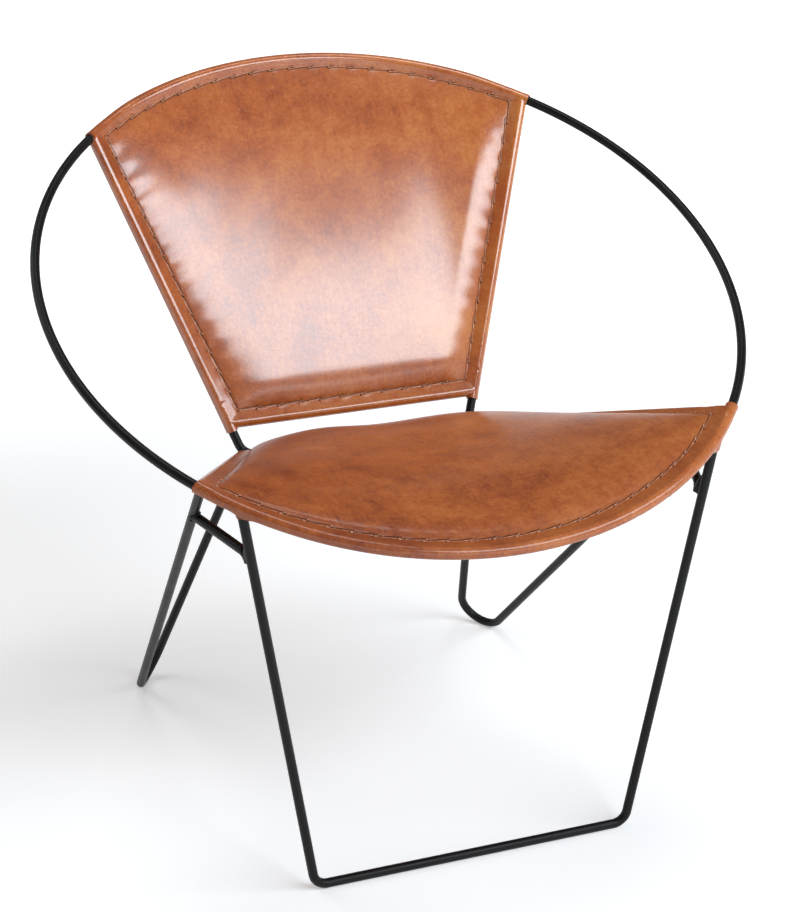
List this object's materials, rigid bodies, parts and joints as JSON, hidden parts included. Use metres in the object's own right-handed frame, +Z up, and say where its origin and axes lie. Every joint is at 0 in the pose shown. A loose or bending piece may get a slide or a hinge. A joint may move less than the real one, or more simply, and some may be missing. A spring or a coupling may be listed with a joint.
{
  "type": "lounge chair",
  "caption": "Lounge chair: a tilted hoop of bent steel rod with a laced, padded leather seat and back on hairpin rear legs and a U-shaped front leg.",
  "frame": {"origin": "on the floor, under the middle of the hoop, which is the centre of the chair's footprint box", "axes": "the sitter faces -Y, +Z is up, and +X is the right side as seen from the front"},
  "size_m": [0.7606, 0.6984, 0.7197],
  "materials": {
    "rod_steel": "black satin powder coat",
    "cover_leather": "polished cognac hide with a mottled patina",
    "lining_leather": "plain tan hide, less polished",
    "foam": "sheet foam, out of sight inside the leathers",
    "thread": "waxed lacing thread"
  },
  "bodies": {
    "root": {"hoop": "rod_steel", "front_leg": "rod_steel", "back_frame": "rod_steel", "back_lower_rail": "rod_steel", "left_seat_rail": "rod_steel", "right_seat_rail": "rod_steel", "left_rear_leg": "rod_steel", "right_rear_leg": "rod_steel", "left_link_bar": "rod_steel", "right_link_bar": "rod_steel", "seat_top_leather": "cover_leather", "seat_underside_leather": "lining_leather", "seat_pad": "foam", "seat_lacing": "thread", "back_front_leather": "cover_leather", "back_rear_leather": "lining_leather", "back_pad": "foam", "back_lacing": "thread"}
  },
  "joints": []
}
